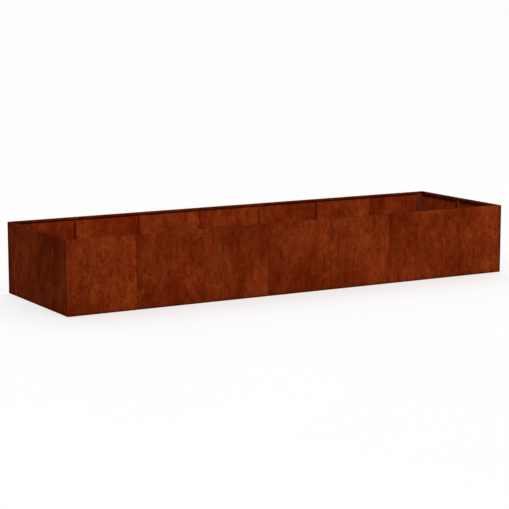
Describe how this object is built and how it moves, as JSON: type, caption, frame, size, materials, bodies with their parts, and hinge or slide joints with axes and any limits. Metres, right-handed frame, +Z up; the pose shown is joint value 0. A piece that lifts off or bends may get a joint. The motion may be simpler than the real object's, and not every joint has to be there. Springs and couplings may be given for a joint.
{
  "type": "planter box",
  "caption": "Long rectangular planter box of folded weathering-steel panels bolted together inside, with a turned-in rim and an open base.",
  "frame": {"origin": "centre of the base, on the surface the planter stands on", "axes": "+X along the length to the right, -Y to the front, +Z up"},
  "size_m": [2.8, 0.8, 0.4],
  "materials": {
    "weathering_steel": "matte",
    "corner_angle": "matte",
    "tie_bar": "matte",
    "rusted_fastener": "matte"
  },
  "bodies": {
    "root": {"back_panel_1": "weathering_steel", "back_panel_2": "weathering_steel", "back_panel_3": "weathering_steel", "back_panel_4": "weathering_steel", "back_panel_5": "weathering_steel", "corner_angle_back_left": "corner_angle", "corner_angle_back_right": "corner_angle", "corner_angle_front_left": "corner_angle", "corner_angle_front_right": "corner_angle", "corner_panel_back_left": "weathering_steel", "corner_panel_back_right": "weathering_steel", "corner_panel_front_left": "weathering_steel", "corner_panel_front_right": "weathering_steel", "cross_tie_1": "tie_bar", "cross_tie_2": "tie_bar", "front_panel_1": "weathering_steel", "front_panel_2": "weathering_steel", "front_panel_3": "weathering_steel", "front_panel_4": "weathering_steel", "front_panel_5": "weathering_steel", "seam_bolt_back_1_lower": "rusted_fastener", "seam_bolt_back_1_upper": "rusted_fastener", "seam_bolt_back_2_lower": "rusted_fastener", "seam_bolt_back_2_upper": "rusted_fastener", "seam_bolt_back_3_lower": "rusted_fastener", "seam_bolt_back_3_upper": "rusted_fastener", "seam_bolt_back_4_lower": "rusted_fastener", "seam_bolt_back_4_upper": "rusted_fastener", "seam_bolt_back_5_lower": "rusted_fastener", "seam_bolt_back_5_upper": "rusted_fastener", "seam_bolt_back_6_lower": "rusted_fastener", "seam_bolt_back_6_upper": "rusted_fastener", "seam_bolt_front_1_lower": "rusted_fastener", "seam_bolt_front_1_upper": "rusted_fastener", "seam_bolt_front_2_lower": "rusted_fastener", "seam_bolt_front_2_upper": "rusted_fastener", "seam_bolt_front_3_lower": "rusted_fastener", "seam_bolt_front_3_upper": "rusted_fastener", "seam_bolt_front_4_lower": "rusted_fastener", "seam_bolt_front_4_upper": "rusted_fastener", "seam_bolt_front_5_lower": "rusted_fastener", "seam_bolt_front_5_upper": "rusted_fastener", "seam_bolt_front_6_lower": "rusted_fastener", "seam_bolt_front_6_upper": "rusted_fastener", "seam_bolt_left_end_lower": "rusted_fastener", "seam_bolt_left_end_upper": "rusted_fastener", "seam_bolt_right_end_lower": "rusted_fastener", "seam_bolt_right_end_upper": "rusted_fastener", "tie_bolt_back_2": "rusted_fastener", "tie_bolt_back_5": "rusted_fastener", "tie_bolt_front_2": "rusted_fastener", "tie_bolt_front_5": "rusted_fastener"}
  },
  "joints": []
}
